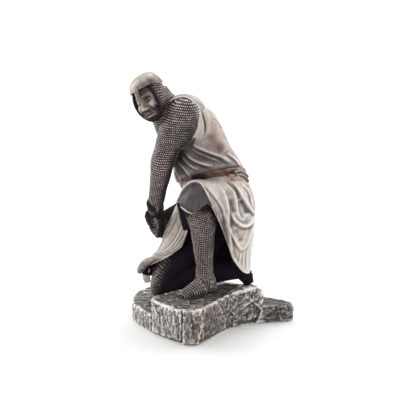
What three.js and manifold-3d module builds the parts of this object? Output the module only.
// A cast statuette: a mail-clad knight in a surcoat kneels on a broken rock and leans on his sword.
// Millimetres, +Z up, +X to the knight's rear, +Y to his far side. The origin is under the rock's middle.
import * as THREE from 'three';
import Module from 'manifold-3d';

const wasm = await Module();
wasm.setup();

// Driving dimensions
const KNIGHT_HEIGHT = 196;     // sole of the planted foot to the crown of the helmet
const PLINTH_LENGTH = 146;
const PLINTH_WIDTH = 104;
const PLINTH_TOP = 33;         // shelf under the planted foot
const RIDGE_RISE = 4;          // crest of the right front edge above the shelf
const SLAB_HEIGHT = 17;        // low slab at the right end
const CLOTH_THICKNESS = 2.6;
const BELT_WIDTH = 10.5;
const BELT_THICKNESS = 2;
const GRIP_LENGTH = 29;
const GRIP_DIAMETER = 5.6;
const POMMEL_DIAMETER = 10;
const POMMEL_THICKNESS = 5;
const GUARD_LENGTH = 32;
const GUARD_THICKNESS = 4;
const BLADE_LENGTH = 70;
const BLADE_WIDTH = 8;
const BLADE_THICKNESS = 2.4;
const FIT_GAP = 0.3;           // between pieces that touch
const PLINTH_SINK = 1;         // how far a foot or knee is pressed into the rock's level
const KNEE_DROP = 16;          // the kneeling knee lies this far under the planted sole
const FIGURE_SETBACK = 3.6;    // the figure stands this far behind the plinth's middle
const HELMET_HALF = 13.8;      // half width of the round cap
const BLOUSE = 4.2;            // how far the bodice hangs out over the belt
const FIST_RADIUS = 7.2;
const FIST_HALF = 6.6;         // half the length a fist covers on the grip
const CHIP = 0.7;              // unevenness of the rock's broken top
const EDGE_WEAR = 2.2;         // how far the rock's top edge is worn back
const LEDGE_FALL = 2.5;        // the shelf dips this far at its right end

// The figure is laid out on a grid of 196 squares to its height, from the sole of the planted foot
const GRID_SQUARES = 196;
const GRID = KNIGHT_HEIGHT / GRID_SQUARES;
const STAND = new THREE.Vector3(0, FIGURE_SETBACK, PLINTH_TOP);

const vec = (x, y, z) => new THREE.Vector3(x, y, z);
const at = (x, y, z) => vec(x, y, z).multiplyScalar(GRID).add(STAND);
const along = (x, y, z) => vec(x, y, z).multiplyScalar(GRID);
const degrees = THREE.MathUtils.degToRad;
const mix = THREE.MathUtils.lerp;
const ease = THREE.MathUtils.smoothstep;

// A closed skin over rows of points. The ends are closed by a fan, or by a strip on a folded sheet,
// and a hoop runs back into itself.
function skin(rows, { ends = 'fan' } = {}) {
  const around = rows[0].length;
  const points = rows.flat();
  const faces = [];
  const index = (row, column) => (row % rows.length) * around + (column % around);
  const lastRow = ends === 'hoop' ? rows.length : rows.length - 1;
  for (let row = 0; row < lastRow; row += 1) {
    for (let column = 0; column < around; column += 1) {
      const a = index(row, column);
      const b = index(row, column + 1);
      const c = index(row + 1, column + 1);
      const d = index(row + 1, column);
      faces.push([a, b, c], [a, c, d]);
    }
  }
  const close = (row, turned) => {
    const add = (a, b, c) => faces.push(turned ? [a, b, c] : [a, c, b]);
    if (ends === 'strip') {
      for (let column = 0; column < around / 2 - 1; column += 1) {
        const a = index(row, column);
        const b = index(row, column + 1);
        const c = index(row, around - 2 - column);
        const d = index(row, around - 1 - column);
        add(a, b, c);
        add(a, c, d);
      }
      return;
    }
    const middle = rows[row].reduce((sum, point) => sum.add(point), vec(0, 0, 0)).divideScalar(around);
    points.push(middle);
    for (let column = 0; column < around; column += 1) {
      add(points.length - 1, index(row, column), index(row, column + 1));
    }
  };
  if (ends !== 'hoop') {
    close(0, false);
    close(rows.length - 1, true);
  }
  return solid(points, faces);
}

// A manifold solid whose faces point out
function solid(points, faces) {
  const volume = faces.reduce((sum, [a, b, c]) => (
    sum + points[a].dot(vec(0, 0, 0).crossVectors(points[b], points[c]))
  ), 0);
  const outward = volume < 0 ? faces.map(([a, b, c]) => [a, c, b]) : faces;
  return new wasm.Manifold(new wasm.Mesh({
    numProp: 3,
    vertProperties: new Float32Array(points.flatMap((point) => point.toArray())),
    triVerts: new Uint32Array(outward.flat()),
  }));
}

// A smooth value between the stations of a list, for numbers or vectors
function between(list, share) {
  const place = THREE.MathUtils.clamp(share, 0, 1) * (list.length - 1);
  const first = Math.min(Math.floor(place), list.length - 2);
  const t = place - first;
  const pick = (offset) => list[THREE.MathUtils.clamp(first + offset, 0, list.length - 1)];
  const spline = (p0, p1, p2, p3) => 0.5 * (
    2 * p1 + (p2 - p0) * t + (2 * p0 - 5 * p1 + 4 * p2 - p3) * t * t
    + (3 * p1 - p0 - 3 * p2 + p3) * t * t * t
  );
  const [a, b, c, d] = [pick(-1), pick(0), pick(1), pick(2)];
  if (typeof b === 'number') {
    return spline(a, b, c, d);
  }
  return vec(spline(a.x, b.x, c.x, d.x), spline(a.y, b.y, c.y, d.y), spline(a.z, b.z, c.z, d.z));
}

// A limb along a spine, with round ends. Each radius is [across, deep]; across lies along `side`.
function limb(spine, radii, { side = vec(0, 1, 0), steps = 8, around = 12, dome = [0.93, 0.55] } = {}) {
  const wide = radii.map((radius) => (radius[0] ?? radius) * GRID);
  const deep = radii.map((radius) => (radius[1] ?? radius) * GRID);
  const rows = [];
  const row = (share, push, shrink) => {
    const step = 0.01;
    const heading = between(spine, Math.min(share + step, 1)).sub(between(spine, Math.max(share - step, 0)));
    heading.normalize();
    const across = side.clone().addScaledVector(heading, -side.dot(heading)).normalize();
    const depth = vec(0, 0, 0).crossVectors(heading, across);
    const middle = between(spine, share).addScaledVector(heading, push);
    const points = [];
    for (let column = 0; column < around; column += 1) {
      const angle = (column / around) * 2 * Math.PI;
      points.push(middle.clone()
        .addScaledVector(across, Math.cos(angle) * between(wide, share) * shrink)
        .addScaledVector(depth, Math.sin(angle) * between(deep, share) * shrink));
    }
    rows.push(points);
  };
  const reach = (share) => Math.min(between(wide, share), between(deep, share));
  dome.forEach((push) => row(0, -reach(0) * push, Math.sqrt(1 - push * push)));
  for (let step = 0; step <= steps; step += 1) {
    row(step / steps, 0, 1);
  }
  [...dome].reverse().forEach((push) => row(1, reach(1) * push, Math.sqrt(1 - push * push)));
  return skin(rows);
}

// An egg with its own three half axes
function egg(centre, [a, b, c]) {
  const rows = 6;
  const around = 11;
  const rings = [];
  for (let row = 1; row < rows; row += 1) {
    const tilt = (row / rows) * Math.PI;
    const ring = [];
    for (let column = 0; column < around; column += 1) {
      const angle = (column / around) * 2 * Math.PI;
      ring.push(centre.clone()
        .addScaledVector(c, Math.cos(tilt))
        .addScaledVector(a, Math.sin(tilt) * Math.cos(angle))
        .addScaledVector(b, Math.sin(tilt) * Math.sin(angle)));
    }
    rings.push(ring);
  }
  return skin(rings);
}

// Height of a set of cloth folds at one place. A fold runs from `from` past `over` to `to` in the
// sheet's own two shares, and has a half width and a height; a negative height is a hollow.
function folded(folds, across, down) {
  const crease = ({ from, over, to, wide, high }) => {
    const pieces = 10;
    let nearest = Infinity;
    let place = 0;
    for (let piece = 0; piece <= pieces; piece += 1) {
      const t = piece / pieces;
      const x = (1 - t) * (1 - t) * from[0] + 2 * t * (1 - t) * over[0] + t * t * to[0];
      const y = (1 - t) * (1 - t) * from[1] + 2 * t * (1 - t) * over[1] + t * t * to[1];
      const distance = Math.hypot(across - x, (down - y) * 0.5);
      if (distance < nearest) {
        nearest = distance;
        place = t;
      }
    }
    const fade = ease(place, -0.25, 0.3) * (1 - ease(place, 0.8, 1.3));
    return high * fade * Math.exp(-((nearest / wide) ** 2));
  };
  return folds.reduce((sum, fold) => sum + crease(fold), 0);
}

const join = (pieces) => pieces.reduce((sum, piece) => sum.add(piece));

// The outer skin of a solid, with any sealed pocket inside it filled
function filled(whole) {
  const shells = whole.decompose();
  return shells.reduce((best, shell) => (shell.volume() > best.volume() ? shell : best));
}

// Torso in the surcoat. Each station has a centre, a half axis to the back and one to the knight's left.
const TORSO = [
  { centre: at(0.5, 6, 96.5), back: along(26.5, 0, 5.5), left: along(2, -26, 11.5) },
  { centre: at(-4.4, 5, 110), back: along(27.6, 0, 3.5), left: along(2, -28, 13) },
  { centre: at(-12, 2, 126), back: along(26.2, 0, 3), left: along(3, -28, 13) },
  { centre: at(-18.5, 0, 141), back: along(25.6, 0, 6), left: along(1, -27, 13) },
  { centre: at(-24, -2, 153), back: along(21.5, 0, 8), left: along(0, -23, 11) },
  { centre: at(-32, -4, 161), back: along(12, 0, 5), left: along(0, -13, 6) },
];

function torsoPoint(share, angle, grow = 0) {
  const pick = (key) => between(TORSO.map((station) => station[key]), share);
  const back = pick('back');
  const left = pick('left');
  const radial = back.clone().multiplyScalar(Math.cos(angle)).addScaledVector(left, Math.sin(angle));
  return pick('centre').add(radial).addScaledVector(radial.clone().normalize(), grow);
}

// Bodice folds: shares of a turn from the back round the left side, and of the height from the waist
const BODICE_FOLDS = [
  { from: [0.35, 0.5], over: [0.2, 0.42], to: [0.06, 0.2], wide: 0.026, high: 2.2 },
  { from: [0.38, 0.4], over: [0.28, 0.22], to: [0.1, 0.1], wide: 0.028, high: 2.6 },
  { from: [0.42, 0.3], over: [0.36, 0.12], to: [0.24, 0.02], wide: 0.03, high: 2.8 },
  { from: [0.17, 0.9], over: [0.1, 0.68], to: [0.17, 0.5], wide: 0.028, high: 2.2 },
  { from: [0.5, 0.5], over: [0.5, 0.2], to: [0.45, 0.02], wide: 0.03, high: 2.5 },
  { from: [0.9, 0.7], over: [0.9, 0.4], to: [0.98, 0.1], wide: 0.04, high: 2 },
  { from: [0.75, 0.6], over: [0.78, 0.3], to: [0.85, 0.06], wide: 0.035, high: 2 },
  { from: [0.62, 0.5], over: [0.64, 0.3], to: [0.7, 0.04], wide: 0.035, high: 2.2 },
];

function torso() {
  const steps = 9;
  const around = 26;
  const rows = [];
  for (let step = 0; step <= steps; step += 1) {
    const share = step / steps;
    const row = [];
    for (let column = 0; column < around; column += 1) {
      const turn = column / around;
      const aft = Math.cos(turn * 2 * Math.PI);
      const rise = share - 0.115 - 0.03 * aft;
      const blouse = BLOUSE * (1 - 0.85 * Math.max(aft, 0) ** 2)
        * Math.exp(-((rise / (rise > 0 ? 0.12 : 0.05)) ** 2));
      const grow = (blouse + folded(BODICE_FOLDS, turn, share)) * GRID;
      row.push(torsoPoint(share, turn * 2 * Math.PI, grow));
    }
    rows.push(row);
  }
  return skin(rows);
}

function yoke() {
  return limb([at(-24, -14, 160), at(-23, -3, 157), at(-18, 24, 136)], [14.5, 18, 16],
    { side: vec(1, 0, 0), steps: 3, around: 11 });
}

// Leather belt under the blousing
function belt() {
  const around = 20;
  const rows = [];
  const up = torsoPoint(0.1, 0).sub(torsoPoint(0, 0)).normalize();
  for (let step = 0; step < around; step += 1) {
    const angle = (step / around) * 2 * Math.PI;
    const inner = torsoPoint(0, angle, -BELT_THICKNESS);
    const outer = torsoPoint(0, angle, BELT_THICKNESS);
    const drop = BELT_WIDTH / 2;
    rows.push([
      inner.clone().addScaledVector(up, drop), outer.clone().addScaledVector(up, drop),
      outer.clone().addScaledVector(up, -drop), inner.clone().addScaledVector(up, -drop),
    ]);
  }
  return skin(rows, { ends: 'hoop' });
}

// Skirt of the surcoat. Each line of cloth starts at an angle of the belt and falls over three points;
// the lines run from the front slit over the raised left knee, the back and the right thigh.
const SKIRT = [
  { belt: 176, fall: [at(-25, -10, 94), at(-27, -20, 82), at(-24, -23, 62)] },
  { belt: 164, fall: [at(-24, -20, 102), at(-28, -30, 96), at(-31, -34, 90)] },
  { belt: 150, fall: [at(-19, -29, 107), at(-22.5, -42, 99), at(-25, -45, 86.5)] },
  { belt: 136, fall: [at(-12, -34, 109), at(-14.5, -46, 100.5), at(-16, -48, 84)] },
  { belt: 122, fall: [at(-5, -35, 108), at(-5, -45, 101), at(-4, -45, 91)] },
  { belt: 106, fall: [at(2, -34, 105), at(4, -43, 92), at(4, -41, 76)] },
  { belt: 86, fall: [at(12, -31, 100), at(14, -39, 77), at(12, -36, 54)] },
  { belt: 62, fall: [at(23, -25, 94), at(24, -31, 66), at(18, -29, 35)] },
  { belt: 35, fall: [at(31.5, -13, 88), at(34, -18, 56), at(28, -18, 19)] },
  { belt: 8, fall: [at(35, 1, 84), at(36, 2, 54), at(34.3, 3, 12)] },
  { belt: -20, fall: [at(34, 17, 75), at(33, 20, 46), at(30, 21, 14)] },
  { belt: -50, fall: [at(24, 32, 69), at(26, 37, 40), at(23, 38, 9)] },
  { belt: -80, fall: [at(7, 37, 64), at(2, 41, 36), at(-4, 41, 8)] },
  { belt: -110, fall: [at(-15, 31, 57), at(-24, 32, 36), at(-30, 27, 10)] },
  { belt: -135, fall: [at(-34, 20, 50), at(-47, 15, 29), at(-58, 14, 4)] },
  { belt: -150, fall: [at(-39, 10, 53), at(-47, 7, 32), at(-65, 6, 13)] },
  { belt: -160, fall: [at(-38, 5, 56), at(-45.5, 0, 37), at(-54, 0, 20)] },
  { belt: -168, fall: [at(-31, 1, 63), at(-36, -5, 46), at(-40, -6, 29)] },
  { belt: -175, fall: [at(-25, -3, 70), at(-22, -9, 55), at(-27, -9, 40)] },
];

// Skirt folds: shares of the way round and of the fall
const SKIRT_FOLDS = [
  { from: [0.26, 0.2], over: [0.3, 0.55], to: [0.32, 1], wide: 0.018, high: 2.2 },
  { from: [0.32, 0.1], over: [0.35, 0.5], to: [0.4, 1], wide: 0.02, high: 2.8 },
  { from: [0.37, 0.1], over: [0.4, 0.5], to: [0.46, 1], wide: 0.02, high: 2.8 },
  { from: [0.39, 0.1], over: [0.44, 0.75], to: [0.52, 0.4], wide: 0.022, high: 2.6 },
  { from: [0.46, 0.1], over: [0.49, 0.5], to: [0.51, 1], wide: 0.02, high: 2.8 },
  { from: [0.53, 0.1], over: [0.56, 0.5], to: [0.57, 1], wide: 0.022, high: 3 },
  { from: [0.6, 0.1], over: [0.63, 0.5], to: [0.63, 1], wide: 0.022, high: 3 },
  { from: [0.67, 0.1], over: [0.7, 0.5], to: [0.71, 1], wide: 0.022, high: 2.8 },
  { from: [0.76, 0.15], over: [0.79, 0.5], to: [0.82, 1], wide: 0.02, high: 2.2 },
  { from: [0.9, 0.15], over: [0.91, 0.5], to: [0.93, 1], wide: 0.018, high: 2 },
];

function skirtPoint(across, down) {
  const angle = degrees(between(SKIRT.map((line) => line.belt), across));
  const top = torsoPoint(0, angle, 1);
  const fall = [0, 1, 2].map((step) => between(SKIRT.map((line) => line.fall[step]), across));
  return between([top, ...fall], down);
}

function skirt() {
  const steps = 41;
  const rowsDown = 6;
  const rows = [];
  const probe = 0.02;
  for (let step = 0; step <= steps; step += 1) {
    const across = step / steps;
    const outer = [];
    const inner = [];
    for (let row = 0; row <= rowsDown; row += 1) {
      const down = row / rowsDown;
      const here = skirtPoint(across, down);
      const sideways = skirtPoint(Math.min(across + probe, 1), down)
        .sub(skirtPoint(Math.max(across - probe, 0), down));
      const downward = skirtPoint(across, Math.min(down + probe, 1))
        .sub(skirtPoint(across, Math.max(down - probe, 0)));
      const normal = vec(0, 0, 0).crossVectors(sideways, downward).normalize();
      const raised = folded(SKIRT_FOLDS, across, down) * GRID;
      outer.push(here.clone().addScaledVector(normal, raised));
      inner.push(here.clone().addScaledVector(normal, raised * 0.5 - CLOTH_THICKNESS));
    }
    rows.push([...outer, ...inner.reverse()]);
  }
  return skin(rows, { ends: 'strip' });
}

// Hem rolled under at the front corner of the cloth, and the corner that hangs below it
function hemCorner() {
  const roll = limb([at(-39.5, -4, 28.6), at(-46.6, -3, 27.6), at(-53.6, -1, 25), at(-59.2, 2, 20.6),
    at(-63.4, 5, 15), at(-65.6, 7, 10.6)], [0.8, 1.7, 2.7, 3.7, 3.5, 2.4],
  { steps: 5, around: 7, dome: [0.7] });
  const tail = limb([at(-60, 12, 11), at(-60.4, 14, 4), at(-59, 15, -3)], [[3.6, 1.6], [3.6, 1.5], [3, 1.2]],
    { side: vec(1, 0, 0), steps: 2, around: 6, dome: [0.7] });
  return join([roll, tail]);
}

// Head frame: the face looks over the left shoulder and the head is tilted
const HEAD = {
  centre: at(-54, -12, 178.2),
  front: vec(-0.45, -0.885, -0.12).normalize(),
  up: vec(-0.44, 0.27, 0.856),
};
HEAD.left = vec(0, 0, 0).crossVectors(HEAD.up, HEAD.front).normalize();

const inHead = (left, front, up) => HEAD.centre.clone()
  .addScaledVector(HEAD.left, left * GRID)
  .addScaledVector(HEAD.front, front * GRID)
  .addScaledVector(HEAD.up, up * GRID);

// Bumps of a plain bearded face: place to the left and up, half width, half height and height of each.
// Those off the middle come in pairs.
const FACE = [
  { left: 0, up: 1, wide: 9, tall: 2.2, high: 1.4 },         // brow
  { left: 4.6, up: -3.6, wide: 3, tall: 2.6, high: -1.6 },   // eye hollows
  { left: 0, up: -5, wide: 2.2, tall: 5, high: 2.2 },        // bridge of the nose
  { left: 0, up: -9.3, wide: 2.4, tall: 2.4, high: 3.4 },    // tip of the nose
  { left: 7, up: -8.8, wide: 2.8, tall: 3.2, high: 1.1 },    // cheekbones
  { left: 3, up: -13.9, wide: 3, tall: 1.6, high: 1.6 },     // moustache
  { left: 0, up: -16.4, wide: 3.8, tall: 1, high: -0.8 },    // mouth
  { left: 0, up: -22, wide: 6.5, tall: 3.4, high: 3.4 },     // chin and beard
  { left: 7.6, up: -16, wide: 3.4, tall: 6, high: 1.7 },     // beard along the jaw
];

function head() {
  const rows = 13;
  const around = 16;
  const rings = [];
  for (let row = 1; row < rows; row += 1) {
    const tilt = degrees(30 + (row / rows) * 145);
    const ring = [];
    for (let column = 0; column < around; column += 1) {
      const even = (column / around) * 2 - 1;
      const turn = even * (0.45 + 0.55 * Math.abs(even)) * Math.PI;
      const left = 11.5 * Math.sin(tilt) * Math.sin(turn);
      const up = -6 + 17 * Math.cos(tilt);
      const raised = FACE.reduce((sum, bump) => {
        const sides = bump.left === 0 ? [0] : [-bump.left, bump.left];
        return sides.reduce((total, side) => total + bump.high
          * Math.exp(-(((left - side) / bump.wide) ** 2) - (((up - bump.up) / bump.tall) ** 2)), sum);
      }, 0);
      const ahead = ease(Math.cos(turn), 0, 0.4);
      ring.push(inHead(left, 1.5 + 13 * Math.sin(tilt) * Math.cos(turn) + raised * ahead, up));
    }
    rings.push(ring);
  }
  return skin(rings);
}

// Round steel cap with a thick brim and a nasal bar. The profile gives [radius, height] shares of the
// cap's half width, from the crown to the inside of the brim.
const CAP_PROFILE = [[0.25, 1.1], [0.6, 0.96], [0.86, 0.66], [0.98, 0.34], [1, 0.16], [1.06, 0.13],
  [1.06, -0.02], [0.9, -0.05]];

function helmet() {
  const around = 18;
  const half = HELMET_HALF / GRID;
  const cap = skin(CAP_PROFILE.map(([out, high]) => {
    const ring = [];
    for (let column = 0; column < around; column += 1) {
      const angle = (column / around) * 2 * Math.PI;
      ring.push(inHead(out * half * Math.cos(angle), -1 + out * (half + 0.8) * Math.sin(angle),
        2.5 + high * half + (1 - high) * 3.4 * ease(Math.sin(angle), -0.4, 0.9)));
    }
    return ring;
  }));
  const nasal = limb([inHead(0, 14.4, 8.5), inHead(0, 16.6, 1), inHead(0, 18.6, -5.6)],
    [[2.1, 1], [1.9, 1], [2.6, 1.1]], { side: HEAD.left, steps: 2, around: 6, dome: [0.6] });
  return join([cap, nasal]);
}

// Mail coif round the face and down to the chest
function coif() {
  const hood = limb([inHead(0, -3, 5), inHead(0, -2.5, -6), at(-41, -7, 163), at(-31, -3, 152)],
    [[12.6, 13], [14, 16], [14, 15], [20, 16]], { side: HEAD.left, steps: 5, around: 12 });
  const around = 16;
  const rim = [];
  for (let step = 0; step < around; step += 1) {
    const angle = (step / around) * 2 * Math.PI;
    const ring = [];
    for (let column = 0; column < 4; column += 1) {
      const turn = (column / 4) * 2 * Math.PI;
      const out = 1 + 0.13 * Math.cos(turn);
      ring.push(inHead(11.6 * out * Math.cos(angle), 8.2 + 2.2 * Math.sin(turn) - 3 * Math.sin(angle) ** 2,
        -5.6 + 16.4 * out * Math.sin(angle)));
    }
    rim.push(ring);
  }
  const bib = limb([at(-44, -14, 158), at(-40, -12, 146), at(-34, -8, 128)], [[12, 8], [12, 8], [12, 7]],
    { side: vec(0, 1, 0), steps: 3, around: 8, dome: [0.6] });
  return join([hood, skin(rim, { ends: 'hoop' }), bib]);
}

function leftSleeve() {
  return limb([at(-24.5, -21, 159), at(-30.5, -23, 149), at(-36, -21.5, 139.5), at(-40, -18, 129.5),
    at(-43, -14, 118.8), at(-45, -9, 106.5), at(-47, -5, 95), at(-49.2, -1, 81.5)],
  [12, 14.8, 12, 9.8, 10, 9, 7.8, 6.8], { steps: 12, around: 12 });
}

// Flat hem of the armhole on the left shoulder: it faces out behind the arm and lies over the shoulder above
function armhole() {
  const around = 20;
  const rows = [];
  const centre = at(-25.3, -24, 158);
  const inward = vec(0, 1, 0);
  const spread = (angle) => along(14.6, 1.5, 0).multiplyScalar(Math.cos(angle))
    .addScaledVector(along(-1, 4, 18.5), Math.sin(angle));
  for (let step = 0; step < around; step += 1) {
    const angle = (step / around) * 2 * Math.PI;
    const out = spread(angle);
    const over = ease(Math.sin(angle), 0.1, 0.85);
    const lie = out.clone().normalize().multiplyScalar(6.5 - 6.3 * over)
      .addScaledVector(inward, 4.5 + 2 * over).normalize();
    const edge = spread(angle + 0.05).sub(out).normalize().cross(lie);
    const sunk = 5.5 * ease(-Math.cos(angle), 0.2, 0.9);
    const middle = centre.clone().add(out)
      .addScaledVector(lie, 4 * GRID)
      .addScaledVector(inward, sunk * GRID);
    const ring = [];
    for (let column = 0; column < 4; column += 1) {
      const turn = (column / 4) * 2 * Math.PI;
      ring.push(middle.clone()
        .addScaledVector(lie, 4.3 * GRID * Math.cos(turn))
        .addScaledVector(edge, 1.2 * GRID * Math.sin(turn)));
    }
    rows.push(ring);
  }
  return skin(rows, { ends: 'hoop' });
}

function rightSleeve() {
  return limb([at(-18, 24, 138), at(-15, 31, 118), at(-9, 33, 92), at(-5.5, 31, 78), at(-18, 26, 66),
    at(-40, 18, 56)], [15, 13.5, 12.5, 12, 10.5, 8.4], { steps: 9, around: 11 });
}

// The sword's axis runs from the pommel down into the rock
const POMMEL = at(-54.8, 2, 70.8);
const SWORD_AXIS = vec(0.3, 0.38, -0.875).normalize();
const SWORD_SIDE = vec(0, 0, 0).crossVectors(SWORD_AXIS, vec(0.5, -0.8, -0.2)).normalize();
const GUARD_AXIS = vec(0, 0, 0).crossVectors(SWORD_SIDE, SWORD_AXIS);
const onSword = (down, out = 0, side = 0) => POMMEL.clone()
  .addScaledVector(SWORD_AXIS, down).addScaledVector(GUARD_AXIS, out).addScaledVector(SWORD_SIDE, side);

// A bar of the sword: stations of [place along, half width, half thickness] with a flat six-sided section
function bar(stations, { grow = 0, corners = 6 } = {}) {
  const rows = stations.map(([down, wide, thick]) => {
    const ring = [];
    for (let column = 0; column < corners; column += 1) {
      const angle = (column / corners) * 2 * Math.PI;
      ring.push(onSword(down, Math.cos(angle) * (wide + grow), Math.sin(angle) * (thick + grow)));
    }
    return ring;
  });
  return skin(rows);
}

function sword(grow = 0) {
  const wheel = POMMEL_DIAMETER / 2;
  const pommel = [];
  for (let step = 0; step <= 4; step += 1) {
    const tilt = (step / 4 - 0.5) * Math.PI * 0.88;
    pommel.push([wheel * 0.9 + Math.sin(tilt) * wheel - grow * (step === 0) + grow * (step === 4),
      Math.cos(tilt) * wheel, Math.cos(tilt) * POMMEL_THICKNESS * 0.62]);
  }
  const grip = GRIP_DIAMETER / 2;
  const guardAt = wheel + GRIP_LENGTH;
  const handle = bar([[wheel, grip, grip], [guardAt, grip, grip]], { grow, corners: 8 });
  const guard = skin([-1, -0.9, 0.9, 1].map((share) => {
    const half = (GUARD_THICKNESS / 2 + grow) * (Math.abs(share) === 1 ? 0.5 : 1);
    const out = share * (GUARD_LENGTH / 2 + grow);
    return [[-1, -1], [1, -1], [1, 1], [-1, 1]].map(([down, side]) => (
      onSword(guardAt + down * half, out, side * half)));
  }));
  const tip = guardAt + BLADE_LENGTH;
  const half = BLADE_WIDTH / 2;
  const thick = BLADE_THICKNESS / 2;
  const blade = bar([[guardAt, half, thick], [tip - half * 2, half, thick],
    [tip + grow, half * 0.3, thick * 0.6]], { grow });
  return join([bar(pommel, { grow, corners: 10 }), handle, guard, blade]);
}

// A fist closed on the grip, `down` from the pommel along the sword: four fingers ridge its outer side,
// and the back of the hand runs to the wrist
function fist(down, knuckles, wrist) {
  const front = knuckles.clone().addScaledVector(SWORD_AXIS, -knuckles.dot(SWORD_AXIS)).normalize();
  const across = vec(0, 0, 0).crossVectors(SWORD_AXIS, front);
  const around = 12;
  const rows = [-1, -0.88, -0.5, -0.25, 0, 0.25, 0.5, 0.88, 1].map((place) => {
    const ring = [];
    for (let column = 0; column < around; column += 1) {
      const angle = (column / around) * 2 * Math.PI;
      const ridge = Math.abs(place) === 1 ? -2.4 : 1.1 * Math.abs(Math.sin(place * 2 * Math.PI)) - 0.5;
      const radius = FIST_RADIUS + ridge * ease(Math.cos(angle), -0.6, 0.2) * GRID;
      ring.push(onSword(down * GRID + place * FIST_HALF)
        .addScaledVector(front, Math.cos(angle) * radius)
        .addScaledVector(across, Math.sin(angle) * radius * 0.9));
    }
    return ring;
  });
  const heel = onSword(down * GRID).addScaledVector(front, -4 * GRID);
  const hand = limb([heel, heel.clone().lerp(wrist, 0.5), wrist], [[7, 6], [7.4, 6.4], [7.8, 7.6]],
    { side: SWORD_AXIS, steps: 2, around: 10, dome: [0.6] });
  return join([skin(rows), hand]);
}

// Planted left leg in mail, and its thigh under the cloth
function leftLeg() {
  const thigh = limb([at(13, 0, 72), at(3, -16, 80), at(-14, -33, 86)], [14, 14, 12.5],
    { side: vec(0, 0, 1), steps: 3, around: 9, dome: [0.6] });
  const shin = limb([at(-14, -34, 86), at(-9.6, -30, 72), at(-8.4, -27, 57.8), at(-7.8, -23, 43),
    at(-7.5, -20, 30), at(-7, -17, 18), at(-5.4, -15, 8)], [12, 11.5, 10, 8.3, 7.4, 7.3, 8.4],
  { steps: 9, around: 11, dome: [0.6] });
  const foot = limb([at(-2, -16, 5.6), at(-7, -19, 8), at(-16, -25, 5.5), at(-25, -30, 3.4)],
    [[6.4, 6.2], [7.4, 8.8], [7.6, 6], [5.6, 4]], { side: vec(0.5, -0.86, 0), steps: 5, around: 11 });
  return join([thigh, shin, foot]);
}

// Kneeling right leg
function rightLeg() {
  const thigh = limb([at(12, 18, 58), at(-16, 12, 32), at(-37, 6, 15), at(-43, 4, -2.5)], [17, 16, 14, 13],
    { side: vec(0, 1, 0), steps: 6, around: 11 });
  const shin = limb([at(-43, 4, -2.5), at(-18, 4, 7.5), at(4, 4, 12.5), at(21, 4, 13.5)], [13, 13, 11.5, 9],
    { side: vec(0, 1, 0), steps: 4, around: 11, dome: [0.6] });
  const foot = limb([at(22, 4, 21), at(26, 3, 14), at(30, 1, 8), at(31.8, 0, 4)], [8, 7.4, 6.6, 5],
    { side: vec(0, 1, 0), steps: 4, around: 9, dome: [0.6] });
  return join([thigh, shin, foot]);
}

const pelvis = () => egg(at(9, 8, 76), [along(25, 0, 0), along(0, 25, 0), along(-4, 0, 22)]);

// Rock: outline corners as shares of the plinth's half length and half width
const ROCK_CORNERS = [
  [-1, 0.08], [-0.92, -0.2], [-0.77, -0.48], [-0.56, -0.78], [-0.42, -0.94], [-0.32, -0.99], [-0.15, -0.98],
  [-0.08, -0.88], [0, -0.72], [0.13, -0.48], [0.28, -0.32], [0.42, -0.22], [0.64, -0.13], [0.86, -0.08],
  [0.97, -0.05], [1, 0.02], [0.94, 0.1], [0.82, 0.19], [0.66, 0.32], [0.58, 0.5], [0.52, 0.7], [0.4, 0.86],
  [0.1, 0.98], [-0.3, 1], [-0.66, 0.86], [-0.93, 0.52],
];
const SHELF_CORNERS = [
  [-0.73, -0.5], [-0.56, -0.78], [-0.42, -0.94], [-0.32, -0.99], [-0.15, -0.98], [-0.08, -0.88], [0, -0.72],
  [0.13, -0.48], [0.28, -0.32], [0.42, -0.22], [0.56, -0.16], [0.605, -0.1], [0.59, 0.02], [0.54, 0.08],
  [0.46, 0.13], [0.3, 0.15], [0.02, 0.12], [-0.12, 0.04], [-0.34, -0.08], [-0.56, -0.28],
];
const RIDGE_CORNERS = [
  [0.14, -0.47], [0.28, -0.32], [0.42, -0.22], [0.53, -0.17], [0.56, -0.13], [0.5, -0.09], [0.34, -0.12],
  [0.2, -0.28],
];

// A repeatable roughness between -1 and 1
const rough = (a, b, c = 0) => {
  const wave = Math.sin(a * 12.9898 + b * 78.233 + c * 37.719) * 43758.5453;
  return (wave - Math.floor(wave)) * 2 - 1;
};

// A block of rock on a closed outline, with a worn top edge; `top` gives the height over the plan
function block(corners, top, { around = 44, seed = 1, worn = EDGE_WEAR, proud = 0 } = {}) {
  const outline = new THREE.CatmullRomCurve3(corners.map(([x, y]) => (
    vec(x * PLINTH_LENGTH / 2, y * PLINTH_WIDTH / 2, 0))), true, 'catmullrom', 0.25);
  const rim = [];
  for (let step = 0; step < around; step += 1) {
    rim.push(outline.getPoint(step / around));
  }
  const middle = rim.reduce((sum, point) => sum.add(point), vec(0, 0, 0)).divideScalar(around);
  const ring = (share, inset, height) => rim.map((point, step) => {
    const out = point.clone().sub(middle);
    const scaled = middle.clone().addScaledVector(out, share)
      .addScaledVector(out.clone().normalize(), proud - inset * (1 + 0.6 * rough(step, seed, inset)));
    scaled.z = height(scaled, step);
    return scaled;
  });
  const lift = (place, step) => top(place.x, place.y) + CHIP * rough(step, seed, place.x);
  return skin([
    ring(0.5, 0, lift),
    ring(1, worn * 1.6, lift),
    ring(1, worn * 0.45, (place, step) => lift(place, step) - worn),
    ring(1, 0.9, (place) => top(place.x, place.y) * 0.5),
    ring(1, 0, () => 0),
  ]);
}

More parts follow.
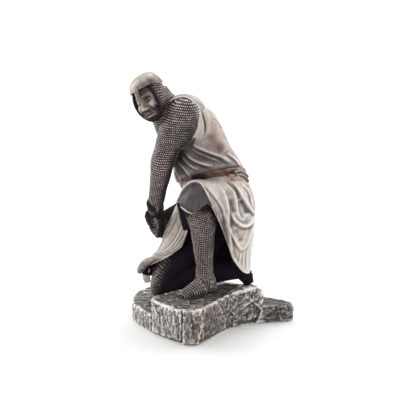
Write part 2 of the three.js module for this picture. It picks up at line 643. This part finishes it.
function rock() {
  const kneeStep = PLINTH_TOP - KNEE_DROP * GRID + PLINTH_SINK;
  const slabTop = (x) => mix(kneeStep, SLAB_HEIGHT, ease(x, 0, PLINTH_LENGTH * 0.3));
  const shelfTop = (x) => PLINTH_TOP - LEDGE_FALL * ease(x, PLINTH_LENGTH * 0.25, PLINTH_LENGTH * 0.31);
  const ridgeTop = (x) => PLINTH_TOP - PLINTH_SINK + RIDGE_RISE * ease(x, 0, PLINTH_LENGTH * 0.23);
  return join([
    block(ROCK_CORNERS, slabTop, { around: 42, seed: 1 }),
    block(SHELF_CORNERS, shelfTop, { around: 36, seed: 2, proud: 0.8 }),
    block(RIDGE_CORNERS, ridgeTop, { around: 16, seed: 3, worn: EDGE_WEAR * 1.4, proud: 1.4 }),
  ]);
}

// The same solid with every corner moved out along its own normal
function grown(whole, distance) {
  const mesh = whole.getMesh();
  const geometry = new THREE.BufferGeometry();
  geometry.setAttribute('position', new THREE.BufferAttribute(Float32Array.from(mesh.vertProperties), 3));
  geometry.setIndex(new THREE.BufferAttribute(Uint32Array.from(mesh.triVerts), 1));
  geometry.computeVertexNormals();
  const place = geometry.getAttribute('position');
  const normal = geometry.getAttribute('normal');
  for (let corner = 0; corner < place.count; corner += 1) {
    place.setXYZ(corner, place.getX(corner) + normal.getX(corner) * distance,
      place.getY(corner) + normal.getY(corner) * distance,
      place.getZ(corner) + normal.getZ(corner) * distance);
  }
  return new wasm.Manifold(new wasm.Mesh({
    numProp: 3,
    vertProperties: Float32Array.from(place.array),
    triVerts: Uint32Array.from(mesh.triVerts),
  }));
}

function knight() {
  const leftHand = fist(11.4, vec(-0.6, -0.7, 0), at(-50.7, 3, 76));
  const rightHand = fist(22.4, vec(-0.8, -0.3, 0), at(-40, 18, 56));
  return join([
    torso(), yoke(), belt(), skirt(), hemCorner(), pelvis(), head(), helmet(), coif(), leftSleeve(),
    armhole(), rightSleeve(), leftHand, rightHand, leftLeg(), rightLeg(),
  ]);
}

function mesh(name, whole, finish) {
  const data = whole.getMesh();
  const geometry = new THREE.BufferGeometry();
  geometry.setAttribute('position', new THREE.BufferAttribute(Float32Array.from(data.vertProperties), 3));
  geometry.setIndex(new THREE.BufferAttribute(Uint32Array.from(data.triVerts), 1));
  geometry.computeVertexNormals();
  const piece = new THREE.Mesh(geometry, new THREE.MeshStandardMaterial(finish));
  piece.name = name;
  return piece;
}

const stone = rock();
const statue = filled(knight().subtract(grown(stone, FIT_GAP)).subtract(sword(FIT_GAP)));

const group = new THREE.Group();
group.add(
  mesh('knight', statue, { color: 0x6e665c, roughness: 0.42, metalness: 0.75 }),
  mesh('rock_plinth', stone.subtract(sword(FIT_GAP)), { color: 0x77746e, roughness: 0.6, metalness: 0.4 }),
  mesh('sword', sword(), { color: 0x4d4744, roughness: 0.35, metalness: 0.85 }),
);

export default group;
